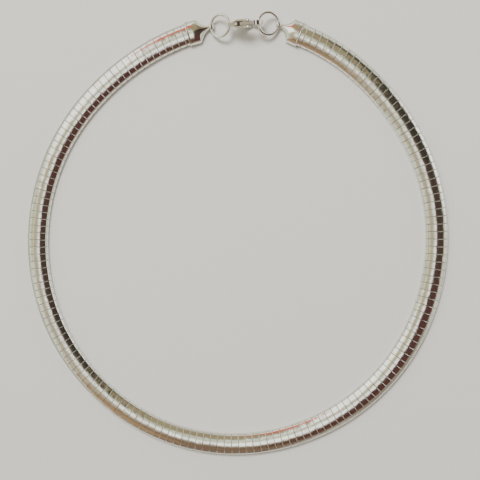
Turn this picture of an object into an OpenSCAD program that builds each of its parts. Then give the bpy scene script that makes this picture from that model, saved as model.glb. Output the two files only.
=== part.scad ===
// Omega necklace: a loop of domed metal plates crimped round a flat mesh core.
// Two folded end caps close the band. A jump ring joins each cap to a lobster clasp.
// It lies on a table, Z up, origin on the table under the middle of its outline, clasp towards +Y.
// All sizes in millimetres.

/* [Loop] */
// Length right round the loop, with the clasp closed
loop_len = 457; // [420:1:500]

/* [Plates] */
// Width of the band of plates
band_w = 7.8; // [7.4:0.1:8.4]
// Height of the plates' dome
band_h = 2.8; // [2.7:0.05:3.2]
// Radius of the dome's crown
crown_r = 6; // [5.6:0.1:7]
// Radius of the dome's two shoulders
shoulder_r = 1.5; // [1.4:0.05:1.7]
// Distance from one plate to the next
plate_pitch = 2.6; // [2.3:0.05:3.2]
// Thickness of the plates' sheet
plate_sheet = 0.35; // [0.3:0.01:0.38]
// Open line between two plates
plate_groove = 0.16; // [0.12:0.01:0.24]
// Width of the lip that a plate folds in under each side of the core
lip_w = 1.9; // [1.5:0.1:2.4]
// How far a plate's tucked edge reaches in under the next plate
tuck_reach = 0.45; // [0.3:0.05:0.6]
// Thickness of the tucked edge
tuck_sheet = 0.25; // [0.2:0.01:0.28]
// How far round the crown the tucked edge goes, in degrees
tuck_angle = 54; // [36:1:56]
// Length of the thick root that joins the tucked edge to its own plate
tuck_root = 0.35; // [0.25:0.05:0.5]

/* [Mesh core] */
// Width of the flat mesh
core_w = 5.6; // [4.6:0.1:5.8]
// Thickness of the flat mesh
core_t = 0.85; // [0.6:0.05:0.9]
// How far the mesh runs on inside an end cap
core_tail = 3.2; // [2.4:0.1:3.6]

/* [End caps] */
// From a cap's rim to the middle of its eyelet
cap_reach = 8.7; // [8:0.1:10]
// Thickness of a cap's sheet
cap_sheet = 0.4; // [0.3:0.02:0.45]
// Length of the bead round a cap's rim
collar_len = 0.55; // [0.45:0.05:0.8]
// Step from the bead down to the shield
collar_step = 0.08; // [0.05:0.01:0.12]
// From a cap's rim to the shoulders where it starts to narrow
cap_straight = 4.1; // [3.8:0.1:4.6]
// Width of the tongue at the tip of a cap
tongue_w = 1.6; // [1.4:0.1:2]
// Wall of a cap's eyelet
eyelet_wall = 0.3; // [0.28:0.01:0.4]
// How far the left cap leans out from the line between the two rims, in degrees
left_lean = 17; // [14:0.5:22]
// How far the right cap leans out from the line between the two rims, in degrees
right_lean = 23; // [16:0.5:24]

/* [Jump rings] */
// Outside diameter of a jump ring
ring_od = 8.5; // [8:0.1:10]
// Thickness of the rings' wire
ring_wire = 1; // [0.8:0.05:1.1]
// Saw cut where a ring was closed
ring_cut = 0.06; // [0.04:0.01:0.1]

/* [Clasp] */
// Length of the clasp
clasp_len = 12.8; // [12:0.1:13.4]
// Thickness of the clasp at its cheeks
clasp_t = 3; // [2.8:0.1:3.4]
// Thickness of the clasp at its eye
eye_t = 1.4; // [1.2:0.1:1.6]
// Thickness of the clasp at its nose
nose_t = 1.6; // [1.5:0.1:2]
// Radius of the clasp's belly, the edge that it stands on
belly_r = 3.3; // [3.2:0.05:3.5]
// Radius of the clasp's nose
nose_r = 2.3; // [2.2:0.05:2.5]
// Height of the eye above the belly's lowest point
eye_z = 4; // [3.8:0.05:4.4]
// How far the clasp leans in over the loop, in degrees
clasp_lean = 12; // [8:0.5:14]
// How far the clasp lies askew of the two rings, in degrees
clasp_skew = 4; // [2:0.5:4.5]
// Wall round the eye
eye_wall = 0.4; // [0.35:0.01:0.55]
// Wall of the claw round the ring
claw_wall = 0.7; // [0.6:0.05:0.9]
// Thickness of the lever
lever_t = 1.2; // [1.1:0.05:1.3]
// Radius of the lever round its pin
hub_r = 0.85; // [0.8:0.01:0.9]
// Diameter of the lever's pin
pin_d = 0.9; // [0.7:0.05:0.95]
// Width of the mouth that the lever shuts
mouth_w = 1.5; // [1.3:0.05:1.7]
// How far the lever's end laps in behind the nose
lap = 0.45; // [0.3:0.05:0.5]

/* [Fits] */
// Gap between pieces that slide past each other
slide_gap = 0.12; // [0.1:0.01:0.14]
// Play all round a ring's wire in an eye
link_gap = 0.25; // [0.22:0.01:0.3]
// Play all round the pin in the lever
pin_gap = 0.05; // [0.03:0.01:0.08]
// Gap all round the pin in the cheeks
rivet_gap = 0.02; // [0.015:0.001:0.03]

/* [Hidden] */
fine = 96;
polished = "silver";
wire_grey = "darkgray";

// The dome's outline is one crown arc and two shoulder arcs. The shoulders stand a little
// proud of the crown, so that the arcs cross, and a soft edge shows there.
shoulder_proud = 0.07;
crown_z = band_h - crown_r;
shoulder_y = band_w / 2 - shoulder_r;
shoulder_z = crown_z + sqrt(pow(crown_r - shoulder_r, 2) - shoulder_y * shoulder_y);
shoulder_angle = atan2(shoulder_z - crown_z, shoulder_y);

// A direction in the plane, and the value between low and high where f rises through zero
function toward(a) = [cos(a), sin(a)];
function solve(f, low, high, tries = 30) = let (mid = (low + high) / 2)
    tries == 0 ? mid : f(mid) < 0 ? solve(f, mid, high, tries - 1) : solve(f, low, mid, tries - 1);

// A ring's wire lies low in a cap's eyelet and high in the clasp, so each ring leans. The
// two rings lie in one line. The eyelets are bent to face it, and the clasp is a little askew.
ring_r = (ring_od - ring_wire) / 2;
bore_r = ring_wire / 2 + link_gap;
eyelet_r = bore_r + eyelet_wall;
low_wire = eyelet_r + 0.05;
high_wire = eye_z * cos(clasp_lean) + clasp_t / 2 * sin(clasp_lean);
ring_lean = asin((high_wire - low_wire) / (2 * ring_r));
ring_run = 2 * ring_r * cos(ring_lean);

// The clasp seen from its side, x along it from its middle and y its height.
// Each disc is [x, height, radius]. The lever is drawn shut.
eye_r = bore_r + eye_wall;
eye = [eye_r - clasp_len / 2, eye_z, eye_r];
belly = [0.1 * clasp_len, belly_r, belly_r];
nose = [clasp_len / 2 - nose_r, eye_z, nose_r];
claw_back = [belly.x + 0.12 * belly_r, belly_r, belly_r - 1.3 * claw_wall];
claw_front = [nose.x, nose.y, nose_r - claw_wall];
wire_x = claw_front.x + claw_front.z - ring_wire / 2 - 1.4 * link_gap;
pivot = [belly.x - 0.82 * belly_r, eye_z + 0.53 * hub_r];
hub = [pivot.x, pivot.y, hub_r];
lever_tip = [nose.x - 0.13 * nose_r, nose.y + nose_r - 0.76 * hub_r, 0.76 * hub_r];
tab = [hub.x - 1.7 * hub_r, hub.y + 1.05 * hub_r, 0.45 * hub_r];
nub = [tab.x - 0.05 * hub_r, tab.y + 0.85 * hub_r, 0.4 * hub_r];
gate_end = [nose.x - 0.41 * nose_r, lever_tip.y];
gate_len = norm(gate_end - pivot);
cheek_end = gate_end.x - mouth_w;
slot_floor = hub.y - 1.4 * hub_r;
slot_end = min(tab.x - tab.z, nub.x - nub.z) - slide_gap;

// The closure runs cap, ring, clasp, ring, cap from the left rim at [0, 0] to the right
// rim at [closure, 0]. The way of the two rings brings it back to the line between the rims.
function eye_at(way) = cap_reach * toward(left_lean) + ring_run * toward(way);
function claw_at(way) = eye_at(way) + (wire_x - eye.x) * toward(way + clasp_skew);
function closure_end(way) = claw_at(way) + ring_run * toward(way) + cap_reach * toward(-right_lean);
ring_way = solve(function (way) closure_end(way).y, -20, 20);
closure = closure_end(ring_way).x;

// How the loop lies, as it differs from a circle.
// Each row is [bulges in a turn, share of the radius, direction of the first in degrees].
bulges = [
    [2, 0.0237, 81.4],
    [3, 0.0084, 86.2],
    [4, 0.0046, 84.6],
    [5, 0.0024, 86.4],
    [6, 0.0018, 84.9]
];
function sum(v, i = 0) = i == len(v) ? 0 : v[i] + sum(v, i + 1);
function bulge(a) = 1 + sum([for (b = bulges) b[1] * cos(b[0] * (a - b[2]))]);
turn_steps = 720;
unit_loop = [for (i = [0:turn_steps]) bulge(i * 360 / turn_steps)
    * [cos(i * 360 / turn_steps), sin(i * 360 / turn_steps)]];
loop_r = loop_len / sum([for (i = [1:turn_steps]) norm(unit_loop[i] - unit_loop[i - 1])]);
function on_loop(a) = loop_r * bulge(a) * [cos(a), sin(a)];

// Half the angle that the closure takes
rim_angle = solve(function (a) norm(on_loop(90 + a) - on_loop(90 - a)) - closure, 5, 40);
left_rim = on_loop(90 + rim_angle);
right_rim = on_loop(90 - rim_angle);
closure_turn = atan2(right_rim.y - left_rim.y, right_rim.x - left_rim.x);

// Lengths along the band from the left rim, each with its angle on the loop
band_step = (360 - 2 * rim_angle) / turn_steps;
function band_angle(i) = 90 + rim_angle + i * band_step;
band_table = [for (i = 0, s = 0; i <= turn_steps;
    s = s + norm(on_loop(band_angle(i + 1)) - on_loop(band_angle(i))), i = i + 1) [s, band_angle(i)]];
band_len = band_table[turn_steps][0];

// A point on the band's middle line. Past the rims it runs straight on, down a cap's middle.
left_axis = toward(closure_turn + left_lean);
right_axis = toward(closure_turn + 180 - right_lean);
function on_band(s) = s < 0 ? left_rim - s * left_axis
    : s > band_len ? right_rim + (s - band_len) * right_axis
    : on_loop(lookup(s, band_table));

// Plates fill the band, and the first and last slip into the caps' throats.
least_slip = 0.3;
plate_count = ceil((band_len + 2 * least_slip) / plate_pitch);
slip = (plate_count * plate_pitch - band_len) / 2;
throat_len = least_slip + plate_pitch / 2 + plate_groove + slide_gap;
function joint_at(i) = on_band(i * plate_pitch - slip);
function plate_dir(i) = let (d = joint_at(i + 1) - joint_at(i)) atan2(d.y, d.x);
function turn_before(i) = let (t = plate_dir(i) - plate_dir(i - 1)) t - 360 * round(t / 360);

// The outline's middle goes to the origin. Its top is the top of the right ring.
loop_points = [for (i = [0:4:turn_steps]) on_loop(i * 360 / turn_steps)];
right_ring_at = claw_at(ring_way) + ring_run / 2 * toward(ring_way);
top = left_rim.y + norm(right_ring_at) * sin(closure_turn + atan2(right_ring_at.y, right_ring_at.x))
    + ring_r * cos(clasp_lean / 2) + ring_wire / 2;
middle = [(max([for (p = loop_points) p.x]) + min([for (p = loop_points) p.x])) / 2,
    (top + min([for (p = loop_points) p.y]) - band_w / 2) / 2];

// Cap sections: the dome's own outline, narrowed and lowered towards the tip
cap_out = slide_gap + cap_sheet;
cap_half = band_w / 2 + cap_out;
cap_high = band_h + cap_out;
loft_end = cap_reach - 0.8 * eyelet_r;
loft_steps = 10;
taper_power = 1.8;
function cap_taper(x) = max(0, min(1, (x - cap_straight) / (loft_end - cap_straight)));
function cap_drop(x) = let (t = max(0, min(1, (x - throat_len) / (loft_end - throat_len)))) t * t * (3 - 2 * t);
function cap_w(x) = tongue_w / 2 + (cap_half - collar_step - tongue_w / 2) * pow(1 - cap_taper(x), taper_power);
function cap_h(x) = let (tip = low_wire + 0.9 * eyelet_r) tip + (cap_high - collar_step - tip) * (1 - cap_drop(x));
arc_steps = 5;
function arc_points(at, r, from, to) =
    [for (i = [0:arc_steps]) at + r * toward(from + (to - from) * i / arc_steps)];
function dome_points(d) = let (r = shoulder_r + d, foot = asin(shoulder_z / r)) concat(
    arc_points([shoulder_y, shoulder_z], r, -foot, shoulder_angle - 6),
    arc_points([0, crown_z], crown_r + d, shoulder_angle, 180 - shoulder_angle),
    arc_points([-shoulder_y, shoulder_z], r, 180 - shoulder_angle + 6, 180 + foot));
function section(x, half, high, floor) =
    [for (p = dome_points(cap_out)) [x, p.x * half / cap_half, floor + p.y * (high - floor) / cap_high]];

module in_middle() {
    translate([-middle.x, -middle.y]) children();
}

module in_closure() {
    in_middle() translate(left_rim) rotate(closure_turn) children();
}

// Outline of the dome, moved out by d and cut off level at the height of its foot
module dome_outline(d = 0, foot = 0) {
    inner_half = shoulder_y + 0.42 * shoulder_r;
    intersection() {
        translate([0, crown_z]) circle(crown_r + d, $fn = fine);
        translate([-band_w, foot]) square(2 * band_w);
        union() {
            for (side = [-1, 1])
                translate([side * shoulder_y, shoulder_z + shoulder_proud]) circle(shoulder_r + d, $fn = fine);
            translate([-inner_half, foot]) square([2 * inner_half, 2 * band_h]);
        }
    }
}

// Stands an outline up across the band and draws it out along x
module along_band(length) {
    rotate([90, 0, 90]) linear_extrude(length) children();
}

module plate_shell(length) {
    gap_half = band_w / 2 - lip_w;
    along_band(length)
        difference() {
            dome_outline();
            dome_outline(-plate_sheet, plate_sheet);
            translate([-gap_half, -1]) square([2 * gap_half, 1 + 2 * plate_sheet]);
        }
}

// The edge that goes in under the next plate: thick where it leaves its own plate's crown
module plate_tuck() {
    outer = crown_r - plate_sheet - slide_gap;
    inner = outer - tuck_sheet;
    root = crown_r - plate_sheet / 2;
    back = -plate_groove / 2 - tuck_root;
    step = back + 0.7 * tuck_root;
    front = plate_groove / 2 + tuck_reach;
    translate([0, 0, crown_z]) rotate([0, 90, 0]) rotate(180 - tuck_angle / 2)
        rotate_extrude(angle = tuck_angle, $fn = fine)
            polygon([[inner, back], [root, back], [root, step], [outer, step], [outer, front], [inner, front]]);
}

// One plate, from its own joint to the next, its two ends cut square to the joints
module plate(before, after) {
    wide = band_w / 2 + 1;
    half = plate_groove / 2;
    end = plate_pitch;
    intersection() {
        plate_shell(plate_pitch);
        linear_extrude(band_h + 1)
            polygon([[half - wide * tan(before / 2), -wide], [end - half + wide * tan(after / 2), -wide],
                [end - half - wide * tan(after / 2), wide], [half + wide * tan(before / 2), wide]]);
    }
    translate([end, 0]) rotate(after / 2) plate_tuck();
}

module plates() {
    color(polished) in_middle()
        for (i = [0:plate_count - 1])
            translate(joint_at(i)) rotate(plate_dir(i)) plate(turn_before(i), turn_before(i + 1));
}

// A closed skin through rings of points
module skin(rings) {
    n = len(rings[0]);
    last = len(rings) - 1;
    polyhedron(
        points = [for (ring = rings) each ring],
        faces = concat(
            [[for (k = [0:n - 1]) k]],
            [for (j = [0:last - 1], k = [0:n - 1]) let (a = j * n + k, b = j * n + (k + 1) % n)
                each [[a, a + n, b + n], [a, b + n, b]]],
            [[for (k = [n - 1:-1:0]) last * n + k]]));
}

// The woven mesh as one flat ribbon that the plates' lips hold
module mesh_core() {
    low = plate_sheet + slide_gap;
    count = floor(plate_count / 2);
    step = (band_len + 2 * core_tail) / count;
    function at(j) = on_band(j * step - core_tail);
    color(wire_grey) in_middle()
        skin([for (j = [0:count]) let (d = at(min(j + 1, count)) - at(max(j - 1, 0)), side = [-d.y, d.x] / norm(d))
            [for (corner = [[-1, low], [1, low], [1, low + core_t], [-1, low + core_t]])
                concat(at(j) + side * corner.x * core_w / 2, corner.y)]]);
}

// A folded end cap, x from its rim to its eyelet. The eyelet is bent round to face the ring.
module cap(facing) {
    loft_start = 0.8 * collar_len;
    stations = concat([loft_start, (collar_len + cap_straight) / 2],
        [for (i = [0:loft_steps]) cap_straight + (loft_end - cap_straight) * i / loft_steps]);
    hollow_start = 0.9 * throat_len;
    hollow_end = cap_straight + 0.55 * (loft_end - cap_straight);
    hollow = [hollow_start, for (x = stations) if (x > hollow_start && x < hollow_end) x];
    difference() {
        union() {
            along_band(collar_len) dome_outline(cap_out);
            skin([for (x = stations) section(x, cap_w(x), cap_h(x), 0)]);
            translate([cap_reach, 0, low_wire]) rotate([90, 0, facing])
                cylinder(r = eyelet_r, h = tongue_w, center = true, $fn = fine);
        }
        translate([-1, 0, 0]) along_band(throat_len + 1) dome_outline(slide_gap, -1);
        skin([for (x = hollow) section(x, cap_w(x) - cap_sheet, cap_h(x) - cap_sheet, plate_sheet)]);
        translate([cap_reach, 0, low_wire]) rotate([90, 0, facing])
            cylinder(r = bore_r, h = 2 * tongue_w, center = true, $fn = fine);
    }
}

module left_cap() {
    color(polished) in_closure() rotate(left_lean) cap(ring_way - left_lean);
}

module right_cap() {
    color(polished) in_closure() translate([closure, 0]) rotate(180 - right_lean) cap(ring_way + right_lean);
}

// A jump ring that starts at a point of the closure, runs along the rings' way and rises with
// the sign of up. It rolls halfway with the clasp's lean. Its saw cut is turned to the given side.
module jump_ring(start, up, cut_side) {
    cut_angle = 2 * asin(ring_cut / 2 / ring_r);
    translate(concat(start + ring_run / 2 * toward(ring_way), (low_wire + high_wire) / 2))
        rotate(ring_way) rotate([0, -up * ring_lean, 0]) rotate([clasp_lean / 2, 0, 0]) rotate(cut_side)
            rotate_extrude(angle = 360 - cut_angle, $fn = fine)
                translate([ring_r, 0]) circle(ring_wire / 2, $fn = fine);
}

module left_ring() {
    color(polished) in_closure() jump_ring(cap_reach * toward(left_lean), 1, 65);
}

module right_ring() {
    color(polished) in_closure() jump_ring(claw_at(ring_way), -1, -110);
}

// Discs joined in a row by straight bars. A bar starts just inside each disc.
function bar_end(disc, grow, a) = [disc.x, disc.y] + 0.985 * (disc.z + grow) * toward(a);
module row_of_discs(discs, grow = 0) {
    for (disc = discs) translate([disc.x, disc.y]) circle(disc.z + grow, $fn = fine);
    for (i = [1:len(discs) - 1])
        let (a = discs[i - 1], b = discs[i], d = [b.x - a.x, b.y - a.y],
            way = atan2(d.y, d.x), open = acos((a.z - b.z) / norm(d)))
            polygon([bar_end(a, grow, way - open), bar_end(b, grow, way - open),
                bar_end(b, grow, way + open), bar_end(a, grow, way + open)]);
}

// Stands a side view up along the clasp and gives it a thickness
module across_clasp(thick) {
    rotate([90, 0, 0]) linear_extrude(thick, center = true) children();
}

module at_clasp() {
    in_closure() translate(concat(eye_at(ring_way), high_wire)) rotate(ring_way + clasp_skew)
        rotate([clasp_lean, 0, 0]) translate([-eye.x, 0, -eye_z]) children();
}

module clasp_body() {
    high = 3 * belly_r;
    half = clasp_len / 2;
    color(polished) at_clasp()
        difference() {
            intersection() {
                across_clasp(2 * clasp_t)
                    difference() {
                        row_of_discs([eye, belly, nose]);
                        translate([eye.x, eye.y]) circle(bore_r, $fn = fine);
                        row_of_discs([claw_back, claw_front]);
                        intersection() {
                            translate(pivot) circle(gate_len + slide_gap, $fn = fine);
                            translate([cheek_end, claw_front.y]) square(high);
                        }
                    }
                linear_extrude(high)
                    polygon([for (side = [1, -1]) for (p = side > 0
                        ? [[-half - 1, eye_t], [eye.x + 0.6 * eye_r, eye_t], [slot_end + 0.8, clasp_t],
                            [cheek_end, clasp_t], [cheek_end + 0.9, nose_t], [half + 1, nose_t]]
                        : [[half + 1, nose_t], [cheek_end + 0.9, nose_t], [cheek_end, clasp_t],
                            [slot_end + 0.8, clasp_t], [eye.x + 0.6 * eye_r, eye_t], [-half - 1, eye_t]])
                        [p.x, side * p.y / 2]]);
            }
            translate([slot_end, -lever_t / 2 - slide_gap, slot_floor])
                cube([cheek_end + 1 - slot_end, lever_t + 2 * slide_gap, high]);
            across_clasp(2 * clasp_t) translate(pivot) circle(pin_d / 2 + rivet_gap, $fn = fine);
        }
}

// The lever as it is shut
module clasp_lever() {
    arm = [hub, lever_tip];
    color(polished) at_clasp()
        across_clasp(lever_t)
            difference() {
                union() {
                    row_of_discs([hub, tab, nub]);
                    intersection() {
                        row_of_discs(arm);
                        translate(pivot) circle(gate_len, $fn = fine);
                    }
                    intersection() {
                        row_of_discs(arm);
                        row_of_discs([claw_back, claw_front], -slide_gap);
                        translate(pivot) circle(gate_len + lap, $fn = fine);
                    }
                }
                translate(pivot) circle(pin_d / 2 + pin_gap, $fn = fine);
            }
}

module lever_pin() {
    color(wire_grey) at_clasp()
        across_clasp(clasp_t) translate(pivot) circle(pin_d / 2, $fn = fine);
}

plates();
mesh_core();
left_cap();
right_cap();
left_ring();
right_ring();
clasp_body();
clasp_lever();
lever_pin();
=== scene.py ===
# %% [markdown]
# # An omega necklace
# An omega necklace is a springy collar. Domed metal plates are crimped in a row round a flat
# woven mesh, so the band looks like one polished strip with fine cross lines. Two folded caps
# close its ends, and two jump rings join the caps to a lobster clasp.
#
# The construction model comes first. It fixes where every piece is and how big it is, and
# this script dresses each piece in its place. All lengths are in metres, and `MM` turns
# millimetres into metres.

# %% Load the construction model
from cmath import phase
from math import asin, atan, cos, pi, radians, sin, sqrt

import bmesh
import bpy
from mathutils import Matrix, Vector


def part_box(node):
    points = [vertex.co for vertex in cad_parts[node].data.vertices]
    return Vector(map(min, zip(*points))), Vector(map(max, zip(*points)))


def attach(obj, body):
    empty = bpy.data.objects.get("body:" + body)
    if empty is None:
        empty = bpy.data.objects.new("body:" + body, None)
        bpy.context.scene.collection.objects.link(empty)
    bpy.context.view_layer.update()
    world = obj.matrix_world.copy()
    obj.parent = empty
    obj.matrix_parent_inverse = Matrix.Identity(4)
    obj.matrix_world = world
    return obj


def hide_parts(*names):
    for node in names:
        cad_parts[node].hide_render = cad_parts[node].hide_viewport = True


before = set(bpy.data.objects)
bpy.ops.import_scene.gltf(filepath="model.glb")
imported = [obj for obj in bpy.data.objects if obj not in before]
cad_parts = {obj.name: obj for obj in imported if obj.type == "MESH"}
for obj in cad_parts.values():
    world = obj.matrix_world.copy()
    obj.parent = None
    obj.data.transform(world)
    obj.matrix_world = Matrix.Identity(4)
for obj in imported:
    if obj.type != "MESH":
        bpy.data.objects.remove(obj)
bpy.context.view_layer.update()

MM = 0.001  # metres in a millimetre

# %% [markdown]
# ## The camera
# A photograph fixes a camera: how far away it stood, how it was tilted and how long its lens
# was. The necklace lies flat, so two tilts against the table and one turn on it are enough.
# The table's three directions, as the camera sees them, are the rows of a matrix that turns
# camera directions into table directions.

# %% Place the camera
LOOK_AT = Vector((2.7394, -1.0615, 0)) * MM
CAMERA_DISTANCE = 251.91 * MM
TILT_ACROSS, TILT_UP, TABLE_TURN = radians(5.255), radians(2.823), radians(3.442)
LENS, SENSOR = 52.984, 36  # both in millimetres, as Blender's camera takes them


def photo_camera():
    across, lift = TILT_ACROSS, TILT_UP
    up = Vector((-sin(across), -sin(lift) * cos(across), cos(across) * cos(lift)))
    right = Vector((cos(across), 0, sin(across)))
    right = (right - up * right.dot(up)).normalized()
    seen = Matrix((right, up.cross(right), up)).to_4x4()
    data = bpy.data.cameras.new("photo_camera")
    data.lens, data.sensor_width = LENS, SENSOR
    data.clip_start, data.clip_end = 0.01, 10
    camera = bpy.data.objects.new("photo_camera", data)
    bpy.context.scene.collection.objects.link(camera)
    on_table = Matrix.Translation(LOOK_AT) @ Matrix.Rotation(TABLE_TURN, 4, "Z")
    camera.matrix_world = on_table @ seen @ Matrix.Translation((0, 0, CAMERA_DISTANCE))
    bpy.context.scene.camera = camera
    return camera


camera = photo_camera()
print("camera stands at, mm:", [round(v / MM, 1) for v in camera.matrix_world.translation])

# %% [markdown]
# ## Writing node trees as sums
# Materials and Geometry Nodes are both trees of small boxes joined by wires. Placing each box
# by hand makes long scripts, so one class stands for a wire, and adding or multiplying two
# wires makes the Math node that does it. A second class holds the tree. Its one method places
# any other node from its type, its settings and what goes into its sockets.

# %% A wire and a board of nodes
class Wire:
    """What comes out of one socket, and the sums that can be done with it."""

    def __init__(self, board, socket):
        self.board, self.socket = board, socket

    def math(self, operation, first, second=0.0, clamp=False):
        return self.board.node("ShaderNodeMath", {"operation": operation, "use_clamp": clamp},
                               {0: first, 1: second})

    def __add__(self, other):
        return self.math("ADD", self, other)

    def __sub__(self, other):
        return self.math("SUBTRACT", self, other)

    def __rsub__(self, other):
        return self.math("SUBTRACT", other, self)

    def __mul__(self, other):
        return self.math("MULTIPLY", self, other)

    def __pow__(self, other):
        return self.math("POWER", self, other)

    def __abs__(self):
        return self.math("ABSOLUTE", self)

    def kept_in_range(self):
        return self.math("ADD", self, 0.0, clamp=True)

    __radd__, __rmul__ = __add__, __mul__


class Board:
    """One node tree, and the way to put nodes in it."""

    def __init__(self, tree):
        self.tree = tree
        tree.nodes.clear()

    def node(self, kind, settings={}, sockets={}, out=0):
        made = self.tree.nodes.new(kind)
        for name, value in settings.items():
            if name == "stops":
                self.set_stops(made.color_ramp.elements, value)
            else:
                setattr(made, name, value)
        for name, value in sockets.items():
            self.plug(made.inputs[name], value)
        return Wire(self, made.outputs[out]) if len(made.outputs) else made

    def plug(self, socket, value):
        if isinstance(value, Wire):
            self.tree.links.new(value.socket, socket)
        else:
            socket.default_value = value

    @staticmethod
    def set_stops(elements, stops):
        while len(elements) < len(stops):
            elements.new(1.0)
        for element, (position, shade) in zip(elements, stops):
            element.position, element.color = position, (*shade, 1)

    def mix_colours(self, share, first, second):
        """The Mix node has sockets for every kind of value. These are the ones for colours."""
        return self.node("ShaderNodeMix", {"data_type": "RGBA"},
                         {0: share, 6: first, 7: second}, out=2)

# %% [markdown]
# ## Polished metal
# Polished silver-coloured metal shows hardly any colour of its own: it shows the room. What
# makes it real is what disturbs the mirror. A wheel leaves hairlines, and wear makes it a little
# cloudy. In the corners that a cloth doesn't reach its colour is darkened, partly for tarnish and
# partly as painted shade.
#
# Each piece carries a number at its corners, `crevice`, that is 1 deep in a joint and 0 on
# open metal. The material darkens and roughens there: the darkening is tarnish and painted
# shade. Hairlines are the thin places where a stretched noise passes through its middle value.
# The plates also carry `plate_tone`, a number of their own each, which makes some a little
# cloudier than their neighbours.

# %% Noises for metal
def new_material(name):
    material = bpy.data.materials.new(name)
    material.use_nodes = True
    return material, Board(material.node_tree)


def hairlines(board, place, turn, along, across, thin):
    stretched = board.node("ShaderNodeMapping", {}, {
        "Vector": place, "Rotation": turn, "Scale": (1 / along, 1 / across, 1 / across)})
    cloud = board.node("ShaderNodeTexNoise", {}, {
        "Vector": stretched, "Scale": 1.0, "Detail": 2.0})
    return (1 - abs(cloud - 0.5) * thin).kept_in_range()


def clouds(board, place, size, detail=3.0):
    return board.node("ShaderNodeTexNoise", {}, {
        "Vector": place, "Scale": 1 / size, "Detail": detail})

# %% [markdown]
# The three polished metals differ only in how hazy they are and how much their surface
# ripples. Sheet that is rolled and domed ripples most, and drawn wire hardly at all.

# %% The polished metals
SILVER, FINDING_SILVER = (0.93, 0.92, 0.875, 1), (0.90, 0.885, 0.85, 1)
# The dark brown below is the colour the crevices are darkened to, for tarnish and painted shade.
TARNISH_AND_SHADE, CLOUDED = (0.21, 0.17, 0.13, 1), (0.60, 0.57, 0.52, 1)
WEAR_SIZE, BREATH_SIZE, RIPPLE_SIZE = 1.7 * MM, 9 * MM, 2.6 * MM
SCRATCH_DEPTH, PITTING = 0.0006, 0.02  # in millimetres
WHEEL_MARKS = (  # how they are turned, length, width, how thin they show
    ((0.1, 0.2, 0.5), 2.5 * MM, 0.05 * MM, 34),
    ((0.2, -0.1, 2.1), 3.5 * MM, 0.06 * MM, 42),
    ((-0.2, 0.1, 1.2), 1.8 * MM, 0.045 * MM, 38),
)


def polished_metal(name, tint, haze, ripple):
    material, board = new_material(name)
    place = board.node("ShaderNodeTexCoord", out="Object")
    crevice = board.node("ShaderNodeAttribute", {"attribute_name": "crevice"}, out="Fac")
    tone = board.node("ShaderNodeAttribute", {"attribute_name": "plate_tone"}, out="Fac")
    wear = clouds(board, place, WEAR_SIZE)
    breath = clouds(board, place, BREATH_SIZE, 2.0)
    waves = clouds(board, place, RIPPLE_SIZE, 1.0)
    lines = sum(hairlines(board, place, *marks) for marks in WHEEL_MARKS)
    # Tarnish and painted shade: the crevice number, broken up by wear, darkens the colour towards
    # the dark brown and roughens it.
    tarnish_and_painted_shade = (crevice * (0.55 + 0.9 * wear)).kept_in_range()
    cloudy = (tone * 0.22 + breath * 0.12).kept_in_range()
    shade = board.mix_colours(cloudy, board.mix_colours(tarnish_and_painted_shade, tint, TARNISH_AND_SHADE), CLOUDED)
    rough = haze + 0.09 * wear ** 2.0 + 0.05 * lines + 0.34 * tarnish_and_painted_shade + 0.05 * tone
    bump = board.node("ShaderNodeBump", {}, {
        "Strength": 1.0, "Distance": MM,
        "Height": lines * SCRATCH_DEPTH + waves * ripple + wear * tarnish_and_painted_shade * PITTING})
    shader = board.node("ShaderNodeBsdfPrincipled", {}, {
        "Base Color": shade, "Metallic": 1.0, "Roughness": rough.kept_in_range(), "Normal": bump})
    board.node("ShaderNodeOutputMaterial", {}, {"Surface": shader})
    print("metal:", material.name)
    return material


plate_metal = polished_metal("polished_plate", SILVER, haze=0.06, ripple=0.09)
cap_metal = polished_metal("polished_cap", SILVER, haze=0.08, ripple=0.03)
finding_metal = polished_metal("polished_finding", FINDING_SILVER, haze=0.08, ripple=0.002)

# %% [markdown]
# The woven mesh is duller. Its wires are drawn, not polished, so they scatter light along
# their length. The hollows between them are darkened with painted shade.

# %% The woven wire
# The dark colour is painted shade for the hollows, with a little wear.
WIRE_BRIGHT, WIRE_SHADE_AND_WEAR = (0.74, 0.72, 0.68, 1), (0.10, 0.085, 0.07, 1)
DRAWN_MARKS = ((0, 0, 0.8), 0.9 * MM, 0.03 * MM, 20)


def woven_wire():
    material, board = new_material("woven_wire")
    place = board.node("ShaderNodeTexCoord", out="Object")
    crevice = board.node("ShaderNodeAttribute", {"attribute_name": "crevice"}, out="Fac")
    wear = clouds(board, place, 0.6 * MM)
    lines = hairlines(board, place, *DRAWN_MARKS)
    # Painted shade: the crevice number darkens the hollows towards the dark colour, and wear noise
    # a little.
    painted_shade_and_wear = (crevice * 0.85 + wear * 0.15).kept_in_range()
    bump = board.node("ShaderNodeBump", {}, {
        "Strength": 1.0, "Distance": MM, "Height": lines * 0.002 + wear * 0.01})
    shader = board.node("ShaderNodeBsdfPrincipled", {}, {
        "Base Color": board.mix_colours(painted_shade_and_wear, WIRE_BRIGHT, WIRE_SHADE_AND_WEAR), "Metallic": 1.0,
        "Roughness": (0.3 + 0.2 * wear).kept_in_range(), "Normal": bump})
    board.node("ShaderNodeOutputMaterial", {}, {"Surface": shader})
    print("metal:", material.name)
    return material


wire_metal = woven_wire()

# %% [markdown]
# ## Where things lie
# The band's middle line is a circle with a few slow bulges. The cap, ring, clasp, ring and cap
# of the closure close it. The construction model finds these places from the same rules, so
# they are worked out once more here, and the boxes of the construction's own pieces prove
# them. A point on the table is one complex number, because turning it is then one product.

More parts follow.
